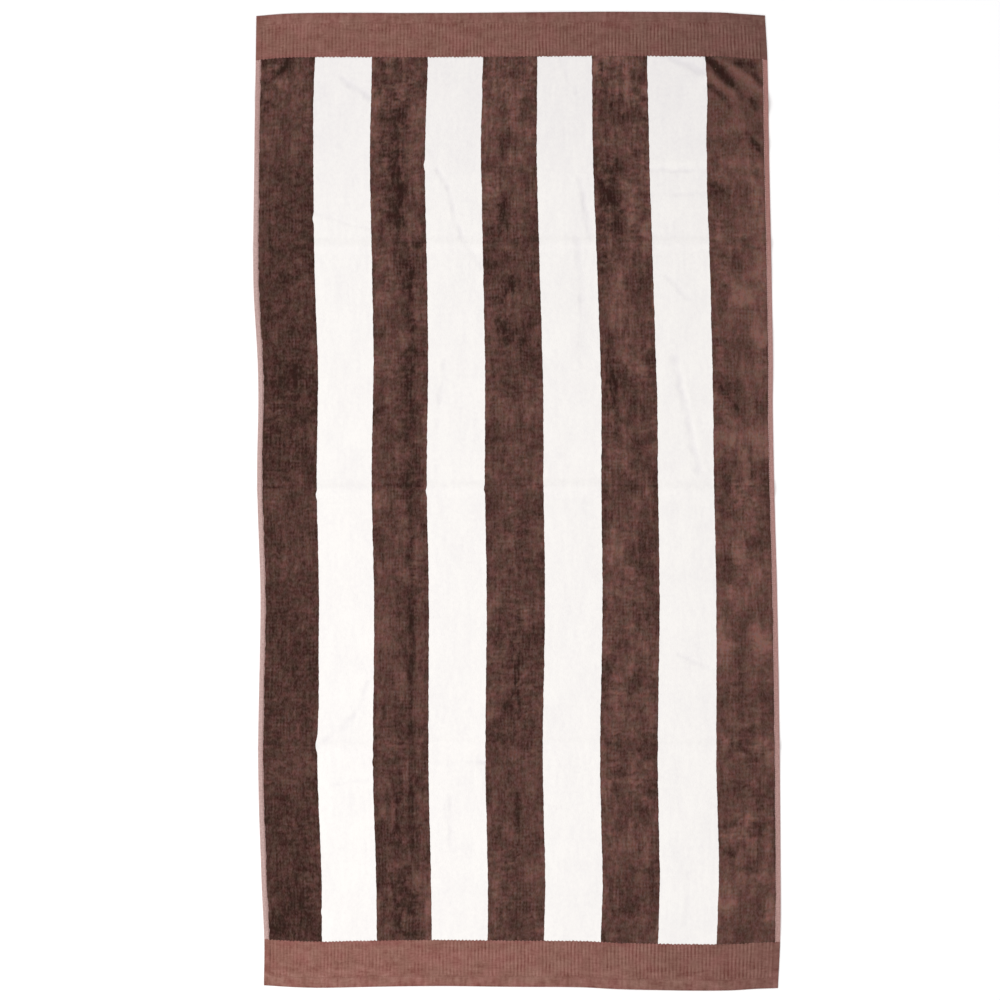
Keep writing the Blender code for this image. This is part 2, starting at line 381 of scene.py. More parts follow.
# Where the line to the right of a stripe leaves its even place: slow drifts, and kinks at creases.
LINE_DRIFTS = (
    # stripe, along, half length, shift to the right
    (1, 1548, 120, -1.7),
    (1, 1341, 12, -1.8),
    (1, 859, 12, -2.3),
    (1, 500, 110, 1.7),
    (1, 425, 22, -3.4),
    (1, 134, 10, -1.4),
    (2, 1250, 500, 2.3),
    (2, 600, 300, 1.4),
    (2, 393, 10, -1.4),
    (3, 1433, 12, -2.1),
    (3, 1100, 300, 0.9),
    (3, 865, 12, -1.6),
    (4, 1370, 100, 0.9),
    (4, 869, 10, -1.6),
    (6, 1150, 400, 1.6),
    (8, 1560, 90, 3.2),
    (8, 1374, 90, -1.2),
    (8, 240, 160, 1.9),
)

# The white stripes' nap, the painted shade that makes it darker towards the far end, and how strongly
# the creases are painted: painted shade in a trough, painted light on a ridge.
WHITE_NAP = 0.80
FAR_PAINTED_SHADE = 0.28
CREASE_PAINTED_SHADE = 420.0

# The pile's lattice and relief, and how far it stays off the side strips and the borders.
PILE_CELL = 0.0021
PILE_JITTER = 0.0004
UNDER_CELLS = 6
EDGE_MARKS = (0.0004, 0.0011)
EDGE_GAP = 0.0005
SIDE_MARGIN = 0.0014
BROWN_RELIEF = 0.00016
WHITE_RELIEF = 0.00010

# The photograph's frame: how much of the floor it takes in, and where its centre lies.
FRAME_WIDTH = 1.7425
FRAME_CENTRE = (-0.0297, 0.0019)
CAMERA_HEIGHT = 6.0
SENSOR = 36.0


def through(places, values, at):
    """Reads smooth curves that pass through values, which has a row for each rising place."""
    places, values = np.asarray(places), np.asarray(values)
    last = len(places) - 1
    low = np.maximum(np.arange(last + 1) - 1, 0)
    high = np.minimum(np.arange(last + 1) + 1, last)
    slopes = (values[high] - values[low]) / (places[high] - places[low])[:, None]
    k = np.clip(np.searchsorted(places, at, side="right") - 1, 0, last - 1)
    span = (places[k + 1] - places[k])[:, None]
    t = (at - places[k])[:, None] / span
    start = (1 + 2 * t) * (1 - t) ** 2 * values[k] + t * (1 - t) ** 2 * span * slopes[k]
    stop = t * t * (3 - 2 * t) * values[k + 1] - t * t * (1 - t) * span * slopes[k + 1]
    return start + stop


def shift(u, v):
    """How far the laid cloth stands to the right of its woven place."""
    beside = through(SHIFTS[:, 0], SHIFTS[:, 1:], v)
    share = through(SHIFT_ACROSS, np.eye(len(SHIFT_ACROSS)), u)
    return (beside * share).sum(axis=1)


def sample(lattice, cell, u, v):
    """Reads a lattice of values, cell = (across, along) metres apart, smoothly between them."""
    rows, columns = lattice.shape
    x = np.clip(u / cell[0] + 1, 0, columns - 1.001)
    y = np.clip(v / cell[1] + 1, 0, rows - 1.001)
    i, j = x.astype(int), y.astype(int)
    s, t = x - i, y - j
    s, t = s * s * (3 - 2 * s), t * t * (3 - 2 * t)
    near = lattice[j, i] * (1 - s) + lattice[j, i + 1] * s
    far = lattice[j + 1, i] * (1 - s) + lattice[j + 1, i + 1] * s
    return near * (1 - t) + far * t


def grain(u, v, cell, seed):
    """Smooth random values from -1 to 1, in lumps of the given (across, along) size."""
    shape = int(LENGTH / cell[1]) + 5, int(WIDTH / cell[0]) + 5
    return sample(np.random.default_rng(seed).uniform(-1, 1, shape), cell, u, v)


def slow_noise(layer):
    """The slow unevenness of the folds, on a lattice over the cloth."""
    along, across = (SLOW_CELL * np.arange(-1, int(size / SLOW_CELL) + 4) for size in (LENGTH, WIDTH))
    places = [[Vector((u, v, layer)) / UNEVEN_LENGTH for u in across] for v in along]
    return np.array([[noise.noise(place) for place in row] for row in places])


SLOW_NOISE = [slow_noise(layer) for layer in UNEVEN_LAYERS]


def smooth_step(low, high, at):
    """0 up to low, rising smoothly to 1 from high on."""
    t = np.clip((at - low) / (high - low), 0, 1)
    return t * t * (3 - 2 * t)


def rounded(inside, reach):
    """0 at an edge, rising in a quarter round to 1 at reach inside it."""
    return np.sqrt(1 - (1 - np.clip(inside / reach, 0, 1)) ** 2)


def from_side(u):
    """How far a place lies from the nearer side of the towel."""
    return np.minimum(u, WIDTH - u)


def from_end(v):
    """How far a place lies from the nearer end of the towel."""
    return np.minimum(v, LENGTH - v)


def nearness(u, v, line):
    """1 on the line from one place to another, falling smoothly to 0 at its half width."""
    u0, v0, u1, v1, half_width = line
    run_u, run_v = u1 - u0, v1 - v0
    along = np.clip(((u - u0) * run_u + (v - v0) * run_v) / (run_u**2 + run_v**2), 0, 1)
    away = np.hypot(u - u0 - run_u * along, v - v0 - run_v * along) / half_width
    return (1 + np.cos(pi * np.minimum(away, 1))) / 2


def lift(u, v):
    """How far the cloth lies off the floor: its folds, soft waves and slightly raised edges."""
    wander_u, wander_v, uneven = (sample(layer, (SLOW_CELL, SLOW_CELL), u, v) for layer in SLOW_NOISE)
    at_u, at_v = u + FOLD_WANDER * wander_u, v + FOLD_WANDER * wander_v
    folds = np.zeros_like(u)
    for *line, rise in FOLDS:
        folds = np.maximum(folds, rise * nearness(at_u, at_v, line))
    waves = np.clip(grain(u, v, (0.11, 0.13), 11) + grain(u, v, (0.05, 0.07), 12) / 2, 0, 2)
    beside = np.clip(1 - from_side(u) / CURL_WIDTH, 0, 1) ** 2
    curl = np.clip(grain(u, v, (0.3, 0.06), 13), 0, 1) * beside
    return folds * (1 + FOLD_UNEVENNESS * uneven) + WAVE_RISE * waves + EDGE_CURL * curl


def crease(u, v):
    """How far fine creases raise or lower the face."""
    at_u = u + CREASE_WANDER * grain(u, v, (0.015, 0.015), 21)
    at_v = v + CREASE_WANDER * grain(u, v, (0.015, 0.015), 22)
    depth = np.clip(0.75 + 0.7 * grain(u, v, (0.02, 0.02), 23), 0.1, 1.4)
    total = depth * sum(rise * nearness(at_u, at_v, line) for *line, rise in CREASES)
    return np.maximum(total, -LOWEST_CREASE)


def laid(u, v, height):
    """The points on the floor's axes of places on the cloth, height above the underside."""
    near, far = through(ENDS[:, 0], ENDS[:, 1:], u).T
    x = u - WIDTH / 2 + shift(u, v)
    y = near + (far - near) * v / LENGTH
    return np.stack([x, y, lift(u, v) + height], axis=-1)


# Meshes.


def marks(start, stop, cell, edges=(True, True)):
    """Even marks from start to stop, about cell apart, with closer ones at the edges that are shown."""
    parts = round((stop - start) / cell)
    even = np.linspace(start, stop, parts + 1)
    first = [start + mark for mark in EDGE_MARKS] if edges[0] else []
    last = [stop - mark for mark in EDGE_MARKS] if edges[1] else []
    return np.sort(np.concatenate([even, first, last]))


def kept_lines(count, every):
    """Every so many of the lines 0 to count - 1, the last one too."""
    return [*range(0, count - 1, every), count - 1]


def squares(numbers):
    """Corners of the squares of a grid of point numbers."""
    corners = numbers[:-1, :-1], numbers[:-1, 1:], numbers[1:, 1:], numbers[1:, :-1]
    return np.stack([corner.ravel() for corner in corners], axis=1).tolist()


def rim(numbers):
    """The point numbers round a grid's edge, anticlockwise."""
    sides = numbers[0, :-1], numbers[:-1, -1], numbers[-1, :0:-1], numbers[:0:-1, 0]
    return np.concatenate(sides)


def coarse_cells(numbers, rows, columns):
    """Faces of the cells between the kept rows and columns, seen from below. They use every point
    on the grid's own edge, and only the cells' corners inside it."""
    last_row, last_column = numbers.shape[0] - 1, numbers.shape[1] - 1
    faces = []
    for a, b in zip(rows, rows[1:]):
        for c, d in zip(columns, columns[1:]):
            near = numbers[a, c : d + 1] if a == 0 else numbers[a, [c, d]]
            right = numbers[a : b + 1, d] if d == last_column else numbers[[a, b], d]
            far = numbers[b, c : d + 1] if b == last_row else numbers[b, [c, d]]
            left = numbers[a : b + 1, c] if c == 0 else numbers[[a, b], c]
            around = [*near[:-1], *right[:-1], *far[:0:-1], *left[:0:-1]]
            faces.append([int(number) for number in around[::-1]])
    return faces


def closed_sheet(name, place, face_height, under_place, under_height, under_every, attributes):
    """A closed sheet: a fine face, a wall round it and a coarse underside.

    place holds the u and the v of the points of the face's grid, under_place of those below."""
    rows, columns = face_height.shape
    numbers = np.arange(rows * columns).reshape(rows, columns)
    kept_rows, kept_columns = kept_lines(rows, under_every[0]), kept_lines(columns, under_every[1])
    kept = np.zeros((rows, columns), bool)
    kept[np.ix_(kept_rows, kept_columns)] = True
    kept[0], kept[-1], kept[:, 0], kept[:, -1] = True, True, True, True
    below = np.full((rows, columns), -1)
    below[kept] = rows * columns + np.arange(kept.sum())

    height = np.concatenate([face_height.ravel(), under_height[kept]])
    u, v = (np.concatenate([at.ravel(), low[kept]]) for at, low in zip(place, under_place))
    points = laid(u, v, height)
    around, around_below = rim(numbers), rim(below)
    wall = np.stack([around, around_below, np.roll(around_below, -1), np.roll(around, -1)], axis=1)
    under = coarse_cells(below, kept_rows, kept_columns)
    faces = squares(numbers) + wall.tolist() + under

    mesh = bpy.data.meshes.new(name)
    mesh.from_pydata(points.tolist(), [], faces)
    material_of = np.zeros(len(faces), np.int32)
    material_of[-len(under) :] = 1
    mesh.polygons.foreach_set("material_index", material_of)
    add_cloth_map(mesh, u, v)
    for attribute, values in attributes.items():
        values = np.concatenate([values.ravel(), values.reshape(kept.shape)[kept]])
        mesh.attributes.new(attribute, "FLOAT", "POINT").data.foreach_set("value", values)
    mesh.shade_smooth()
    mesh.set_sharp_from_angle(angle=radians(50))
    return mesh


def add_cloth_map(mesh, u, v):
    """Adds a UV map that holds each point's woven place, in metres, for the materials to follow."""
    corners = np.empty(len(mesh.loops), np.int32)
    mesh.loops.foreach_get("vertex_index", corners)
    places = np.stack([u, v], axis=1)
    mesh.uv_layers.new(name="Cloth").data.foreach_set("uv", places[corners].ravel())


def add_piece(mesh, materials):
    """Shows a mesh as a piece that rides on the towel's one body."""
    piece = bpy.data.objects.new(mesh.name, mesh)
    bpy.context.scene.collection.objects.link(piece)
    for material in materials:
        mesh.materials.append(material)
    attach(piece, "root")
    return piece


# The cut pile.


def stripe_edge(k, v):
    """Where the line between stripes k and k + 1 runs: the tufts on each side make it waver."""
    u = np.full_like(v, SIDE_HEM + STRIPE * k)
    wander = 0.0003 * grain(u, v, (0.1, 0.003), 300 + k) + 0.0004 * grain(u, v, (0.1, 0.012), 320 + k)
    if k == 0:
        u, wander = u + SIDE_MARGIN, 2 * wander
    elif k == STRIPES:
        u, wander = u - SIDE_MARGIN / 2, 2 * wander
    for _, *sizes in (row for row in LINE_DRIFTS if row[0] == k):
        along, half_length, drift = millimetres(*sizes)
        u = u + drift * (1 + np.cos(pi * np.clip((v - along) / half_length, -1, 1))) / 2
    return u + wander


def end_overhang(u, seed):
    """How far the pile leans over a border's ribs, most in the grooves."""
    groove = np.cos(2 * pi * (u - RIB_MARGIN) / RIB_PITCH)
    return 0.0008 + 0.0008 * groove + 0.0006 * grain(u, u, (0.003, 0.003), seed)


def nap_strength(stripe, v):
    """How strong the nap's unevenness is: stronger towards the far end, but weak there in the last
    stripe, where the strokes take over."""
    if stripe == STRIPES:
        return 1 - 0.65 * smooth_step(1.45, 1.54, v)
    return 0.92 + 0.13 * smooth_step(1.20, 1.33, v) + 0.38 * smooth_step(1.48, 1.58, v)


def uneven_nap(stripe, u, v, at_u, at_v):
    """The lumps, streaks and thin lines of a brown stripe's nap, skewed to the light side."""
    lumps, streaks = np.zeros_like(u), np.zeros_like(u)
    for layer, (*cell, size) in enumerate(NAP_LUMPS):
        lumps += size * grain(at_u, at_v, millimetres(*cell), 440 + 20 * layer + stripe)
    crosswise = np.clip(0.5 + 1.6 * grain(u, v, (0.028, 0.040), 520 + stripe), 0, 1)
    for layer, (*cell, size) in enumerate(NAP_STREAKS):
        share = 0.4 + 1.4 * crosswise if cell[0] > cell[1] else 1.25 - 0.5 * crosswise
        streaks += size * share * grain(at_u, at_v, millimetres(*cell), 540 + 20 * layer + stripe)
    for layer, (*cell, size) in enumerate(NAP_LINES):
        away = np.abs(grain(u, v, millimetres(*cell), 800 + 20 * layer + stripe))
        streaks += size * (np.clip(1 - away / LINE_WIDTH, 0, 1) - 0.2)
    lump_size, streak_size = NAP_UNEVENNESS[stripe]
    uneven = (lump_size * lumps + streak_size * streaks) * nap_strength(stripe, v)
    return uneven + LIGHT_SKEW * uneven**2


def marked_nap(stripe, u, v, at_u, at_v):
    """What the broad parts and the smaller marks add to a brown stripe's nap, with ragged edges."""
    ragged = 0.35 * grain(u, v, (0.004, 0.007), 700 + stripe)
    streaked = 1 + 0.8 * grain(u, v, (0.003, 0.012), 760 + stripe)
    parts = [(k, 0.5, along, PART_HALF_WIDTH, *rest) for k, along, *rest in NAP_PARTS]
    left = SIDE_HEM + STRIPE * (stripe - 1)
    total = np.zeros_like(u)
    for k, across, *sizes, lean in (*parts, *NAP_MARKS):
        if k == stripe:
            along, half_width, half_length = millimetres(*sizes)
            away = np.hypot((at_u - left - STRIPE * across) / half_width, (at_v - along) / half_length)
            total += lean * (1 - smooth_step(0.2, 1.7, away + ragged))
    return MARK_STRENGTH * streaked * total


def stroked_nap(u, v):
    """What the strokes add to the nap, which is the darkest and the lightest one at each place, and the
    wavering v that they follow. The strokes are painted shade in the folds' troughs and painted
    highlights on their ridges."""
    at_u = u + 0.0012 * grain(u, v, (0.010, 0.010), 720)
    at_v = v + 0.0010 * grain(u, v, (0.010, 0.010), 721)
    strength = 1 + 0.20 * grain(u, v, (0.012, 0.012), 722)
    dark, light = np.zeros_like(u), np.zeros_like(u)
    for *line, lean in NAP_STROKES:
        shade = lean * nearness(at_u, at_v, millimetres(*line))
        dark, light = np.minimum(dark, shade), np.maximum(light, shade)
    return strength * (dark + light), at_v


def nap(stripe, u, v):
    """How light the nap of a brown stripe lies: its unevenness, marks, strokes and crosswise rows. Its
    base holds painted sheen, and its strokes painted shade and highlights of the folds.
    """
    at_u = u + 0.0016 * grain(u, v, (0.008, 0.014), 400 + stripe)
    at_v = v + 0.0040 * grain(u, v, (0.009, 0.014), 420 + stripe)
    # The base lean holds painted sheen, lighter on the stripes further to the right.
    lean = BASE_NAP_AND_SHEEN[stripe] + uneven_nap(stripe, u, v, at_u, at_v)
    lean += marked_nap(stripe, u, v, at_u, at_v)
    # The strokes are painted shade and painted highlights of the folds.
    strokes, row_v = stroked_nap(u, v)
    lean += strokes + FAR_LIGHT * smooth_step(1.42, 1.52, v)
    rows = grain(u, row_v, (0.018, 0.0026), 740 + stripe)
    for along, half_width in ROW_BANDS:
        lean += ROW_STRENGTH * rows * np.clip(1 - np.abs(v - along) / half_width, 0, 1)
    return lean


def white_nap(stripe, u, v):
    """How light a white stripe's nap lies: almost even, with painted shade in the creases' troughs and
    painted light on their ridges, and painted shade that makes it a little darker towards the far end."""
    lean = WHITE_NAP + 0.12 * grain(u, v, (0.006, 0.030), 540 + stripe)
    lean += 0.10 * grain(u, v, (0.030, 0.040), 560 + stripe)
    lean += 0.12 * grain(u, v, (0.004, 0.005), 580 + stripe)
    # Painted shade and light of the creases, and painted shade towards the far end.
    return lean + CREASE_PAINTED_SHADE * crease(u, v) - FAR_PAINTED_SHADE * smooth_step(1.25, 1.62, v)


def pile_relief(stripe, u, v, size):
    """Uneven height of the sheared tufts: single lumps, clumps and lengthwise streaks."""
    single = np.random.default_rng(600 + stripe).uniform(-1, 1, u.shape)
    clumps = grain(u, v, (0.005, 0.006), 620 + stripe)
    return size * (single + 0.8 * clumps + 0.8 * grain(u, v, (0.003, 0.022), 640 + stripe))


def pile_mesh(stripe):
    """One stripe of pile, from the line on its left to the line on its right."""
    brown = stripe % 2 == 1
    first, last = stripe == 1, stripe == STRIPES
    across = (marks(0, STRIPE, PILE_CELL, (first, last)) / STRIPE)[None, :]
    along = (marks(NEAR_BORDER, PILE_END, PILE_CELL) - NEAR_BORDER)[:, None] / PILE_LENGTH
    line = NEAR_BORDER + PILE_LENGTH * along[:, 0]
    left, right = stripe_edge(stripe - 1, line)[:, None], stripe_edge(stripe, line)[:, None]
    u = left + (right - left) * across
    start = NEAR_BORDER - end_overhang(u[0], 340)
    stop = PILE_END + end_overhang(u[-1], 341)
    v = start + (stop - start) * along

    jitter = np.random.default_rng(660 + stripe).uniform(-PILE_JITTER, PILE_JITTER, (2, *u.shape))
    jitter[:, [0, 1, 2, -3, -2, -1]] = 0
    jitter[:, :, [0, 1, 2, -3, -2, -1]] = 0
    u, v = u + jitter[0], v + jitter[1]

    end = np.minimum(v - start, stop - v)
    side = np.minimum(u - left if first else np.inf, right - u if last else np.inf)
    crown = rounded(np.minimum(end, side), PILE_ROUND)
    u_flat, v_flat = u.ravel(), v.ravel()
    size = BROWN_RELIEF if brown else WHITE_RELIEF
    relief = pile_relief(stripe, u_flat, v_flat, size) + crease(u_flat, v_flat)
    height = PILE_ROOT + crown * (PILE_TOP - PILE_ROOT + relief.reshape(u.shape))
    u_low = SIDE_HEM + EDGE_GAP if first else left
    u_high = WIDTH - SIDE_HEM - EDGE_GAP if last else right
    under_u = np.clip(u, u_low, u_high)
    under_v = np.clip(v, NEAR_BORDER + EDGE_GAP, PILE_END - EDGE_GAP)

    looks = {"nap": (nap if brown else white_nap)(stripe, u_flat, v_flat)}
    under, every = np.zeros_like(u), (UNDER_CELLS, UNDER_CELLS)
    return closed_sheet(f"pile_{stripe}", (u, v), height, (under_u, under_v), under, every, looks)


# The woven ground, with its side strips, and the ribbed borders.

GROUND_CELL = 0.0085
BORDER_CELL = 0.0030
RIB_POINTS = 5
UNDER_BORDER = (4, 2 * RIB_POINTS)
# Closer lines of the meshes' grids, from the sides, across the ribs' margins and from the ends.
SIDE_MARKS = (0.0, 0.0003, 0.0008, 0.0016, 0.0030, 0.0050, 0.0070, 0.0080)
MARGIN_MARKS = (0.0095, 0.0103)
HEM_MARKS = (0.0, 0.0003, 0.0008, 0.0016, 0.0050, 0.0090, 0.0130, 0.0165, 0.0180, 0.0190, 0.0196)
FIRST_CELL = 0.0205
# How strongly a border's ribs and its ripples show, partly as painted shade, and its painted overall
# shade: its level at the left and its fall to the right.
NEAR_LOOKS = (0.63, 0.38, 1.020, 0.275)
FAR_LOOKS = (0.80, 0.25, 0.905, 0.300)


def side_height(u):
    """Height of the rounded hem along a side."""
    return EDGE_TOP + (SIDE_HEM_TOP - EDGE_TOP) * rounded(from_side(u), SIDE_ROUND)


def ground_height(u):
    """Height of the side strips, and of the ground under the pile that they step down to."""
    hem = side_height(u)
    return hem + (GROUND_TOP - hem) * smooth_step(SIDE_HEM - 0.0010, SIDE_HEM, from_side(u))


def side_painted_light(u, v):
    """How pale the side strips are, which is painted light: palest along the left edge, deepest along
    the far right.
    """
    left = (1 - smooth_step(0.2, 0.8, u / WIDTH)) * (1 - 0.36 * smooth_step(1.38, 1.50, v))
    right = 0.52 - 0.20 * smooth_step(0.25, 0.60, v) - 0.24 * smooth_step(1.21, 1.34, v)
    return np.maximum(left, right)


def ground_mesh():
    """The woven ground under the pile, with the flat strip along each side."""
    inner = np.linspace(SIDE_HEM, WIDTH - SIDE_HEM, round((WIDTH - 2 * SIDE_HEM) / GROUND_CELL) + 1)
    outer = SIDE_MARKS[:-1]
    across = np.sort(np.concatenate([outer, inner, [WIDTH - mark for mark in outer]]))
    along = np.linspace(NEAR_BORDER, PILE_END, round(PILE_LENGTH / GROUND_CELL) + 1)
    u, v = np.meshgrid(across, along)
    under = GROUND_UNDER * smooth_step(SIDE_HEM, SIDE_HEM + 0.002, from_side(u))
    # Painted light on the side strips, as a share from their shaded to their lit colour.
    looks = {"pale": side_painted_light(u, v)}
    return closed_sheet("ground", (u, v), ground_height(u), (u, v), under, (1, 1), looks)


def rib_profile(u, v):
    """About 0 in the grooves between a border's ribs, about 1 on their crests, 1/2 off the ribs."""
    wander = 0.10 * grain(u, v, (0.012, 0.016), 71)
    wave = np.abs(np.sin(pi * ((u - RIB_MARGIN) / RIB_PITCH + wander))) ** 1.1
    clear = np.clip(0.72 + 0.62 * grain(u, v, (0.010, 0.012), 73), 0.25, 1.3)
    clear *= 0.84 + 0.40 * smooth_step(0.15, 0.45, u) + 0.25 * smooth_step(0.52, 0.72, u)
    on = smooth_step(END_HEM - 0.0006, END_HEM + 0.0012, from_end(v))
    on = on * (from_side(u) > RIB_MARGIN - 1e-6)
    return 0.5 + (wave - 0.5) * on * clear


def ripple(u, v):
    """Soft crosswise ripples of a border, -1 to 1, strongest beside its hem."""
    beside = 0.35 + 0.65 * np.clip(1 - np.abs(from_end(v) - END_HEM - 0.008) / 0.020, 0, 1)
    return grain(u, v + 0.004 * grain(u, v, (0.02, 0.02), 75), (0.022, 0.0055), 74) * beside


def border_height(u, v):
    """Height of a border: hems at its end and sides, and the ribbed weave inside them."""
    hem, end = side_height(u), from_end(v)
    end_hem = EDGE_TOP + (END_HEM_TOP - EDGE_TOP) * rounded(end, END_ROUND)
    end_hem += 0.00012 * grain(u, v, (0.006, 0.02), 72)
    ribbed = BORDER_TOP + RIB_RISE * rib_profile(u, v) + 0.00025 * ripple(u, v)
    middle = end_hem + (ribbed - end_hem) * smooth_step(END_HEM - 0.0010, END_HEM + 0.0005, end)
    inner = smooth_step(RIB_MARGIN - 0.0012, RIB_MARGIN, from_side(u))
    outer = np.minimum(hem, np.where(end < END_ROUND, end_hem, hem))
    height = outer + (middle - outer) * inner
    return height + crease(u.ravel(), v.ravel()).reshape(u.shape) * inner


def border_looks(u, v, border, far):
    """How light a border's yarns are, with painted shade in the ribs' grooves, on the ripples and along
    the end edge, how red they are, and its painted overall shade, darker towards the right.
    """
    end = from_end(v)
    ribbed, rippled, shade, painted_fall = FAR_LOOKS if far else NEAR_LOOKS
    # Dark grooves and light crests of the ribs, partly painted shade, and the ripples' painted light
    # and shade.
    yarn_and_painted_shade = 0.5 + ribbed * (rib_profile(u, v) - 0.5)
    yarn_and_painted_shade += rippled * ripple(u, v) + 0.16 * grain(u, v, (0.003, 0.010), 77)
    hem = 1 - smooth_step(END_HEM - 0.0020, END_HEM, end)
    yarn_and_painted_shade += hem * (0.12 + 0.34 * grain(u, v, (0.0032, 0.0110), 78))
    # Painted shade: a darker line along the end edge.
    yarn_and_painted_shade -= 0.30 * (1 - smooth_step(0.0006, 0.0022, end))
    beside_pile = smooth_step(border - 0.010, border - 0.003, end)
    red = np.maximum(0.8 * beside_pile, 0.6 * (1 - smooth_step(0.002, 0.008, end)))
    red = red * np.clip(0.6 + grain(u, v, (0.05, 0.01), 76), 0, 1)
    # Painted shade over the whole border: darker towards the right, and darker on the far border than
    # on the near one.
    return {"yarn_and_painted_shade": yarn_and_painted_shade, "red": red, "painted_shade_level": shade - painted_fall * (u / WIDTH) ** 2}


def border_mesh(name, border, far):
    """A ribbed border with its turned hems, from the end of the towel to the pile."""
    ribs = RIB_MARGIN + RIB_PITCH * np.arange(RIBS * RIB_POINTS + 1) / RIB_POINTS
    sides = [*SIDE_MARKS, *MARGIN_MARKS]
    across = np.sort(np.concatenate([sides, ribs, [WIDTH - mark for mark in sides]]))
    parts = round((border - FIRST_CELL) / BORDER_CELL)
    depths = np.concatenate([HEM_MARKS, np.linspace(FIRST_CELL, border, parts + 1)])
    along = LENGTH - depths[::-1] if far else depths
    u, v = np.meshgrid(across, along)
    height, looks = border_height(u, v), border_looks(u, v, border, far)
    return closed_sheet(name, (u, v), height, (u, v), np.zeros_like(u), UNDER_BORDER, looks)


# Stitches.

STITCH_PITCH = 0.0034
# Length and width of a stitch beside the pile, and of one in the borders' hems.
PALE_STITCH = (0.0026, 0.0012)
BROWN_STITCH = (0.0024, 0.0006)
STITCH_SIDES = 6
# Places along a stitch from -1 to 1, and the share of its width that it has there.
STITCH_RINGS = ((-0.75, 0.7), (0.0, 1.0), (0.75, 0.7))
# How far stitches stand from the side or, on an end, from the hem's inner edge, and how high.
BESIDE_PILE = (0.0080, 0.0021)
ON_BORDERS = (0.0102, 0.0020)
ON_END_HEMS = (0.0016, 0.0021)


def stitch_shape(length, width):
    """Points and faces of one stitch along x: rings of points between two tips."""
    turns = 2 * pi * np.arange(STITCH_SIDES) / STITCH_SIDES
    rings = [
        (x * length / 2, r * width / 2 * np.cos(t), r * width / 2 * np.sin(t))
        for x, r in STITCH_RINGS
        for t in turns
    ]
    points = np.array([(-length / 2, 0.0, 0.0), *rings, (length / 2, 0.0, 0.0)])
    last = 1 + (len(STITCH_RINGS) - 1) * STITCH_SIDES
    faces = []
    for k in range(STITCH_SIDES):
        step = (k + 1) % STITCH_SIDES
        faces.append([0, 1 + step, 1 + k])
        for low in range(1, last, STITCH_SIDES):
            high = low + STITCH_SIDES
            faces.append([low + k, low + step, high + step, high + k])
        faces.append([last + k, last + step, len(points) - 1])
    return points, faces


def stitches_mesh(name, lines, stitch):
    """Short stitches along lines on the cloth, given as arrays of (u, v, height, turn) rows."""
    shape, faces = stitch_shape(*stitch)
    places = np.concatenate(lines)
    count = len(places)
    rng = np.random.default_rng(81)
    turn = places[:, 3] + rng.uniform(-0.12, 0.12, count)
    size = rng.uniform(0.85, 1.1, count)
    centre = laid(places[:, 0], places[:, 1], places[:, 2])
    c, s = np.cos(turn)[:, None], np.sin(turn)[:, None]
    x = size[:, None] * shape[:, 0]
    y, z = (np.broadcast_to(shape[:, k], x.shape) for k in (1, 2))
    points = np.stack([x * c - y * s, x * s + y * c, z], axis=-1)
    points = (points + centre[:, None, :]).reshape(-1, 3)
    all_faces = [[corner + k * len(shape) for corner in face] for k in range(count) for face in faces]
    mesh = bpy.data.meshes.new(name)
    mesh.from_pydata(points.tolist(), [], all_faces)
    add_cloth_map(mesh, (places[:, :1] + shape[:, 0]).ravel(), points[:, 1])
    mesh.shade_smooth()
    return mesh


def side_stitches(right):
    """Places of the stitches along one side: those beside the pile, and those on the borders."""
    v = np.arange(STITCH_PITCH, LENGTH - STITCH_PITCH / 2, STITCH_PITCH)
    on_border = from_end(v) < np.where(v < LENGTH / 2, NEAR_BORDER, FAR_BORDER)
    side, height = np.where(on_border[:, None], ON_BORDERS, BESIDE_PILE).T
    side = side + 0.0003 * grain(v, v, (0.01, 0.01), 91 + right)
    u = WIDTH - side if right else side
    places = np.stack([u, v, height, np.full_like(v, pi / 2)], axis=1)
    return places[~on_border], places[on_border]


def end_stitches(far):
    """Places of the stitches along an end hem."""
    u = np.arange(RIB_MARGIN + STITCH_PITCH, WIDTH - RIB_MARGIN, STITCH_PITCH)
    inset, height = ON_END_HEMS
    depth = END_HEM - inset + 0.0002 * grain(u, u, (0.02, 0.02), 93 + far)
    v = LENGTH - depth if far else depth
    return np.stack([u, v, np.full_like(u, height), np.zeros_like(u)], axis=1)


# Materials.


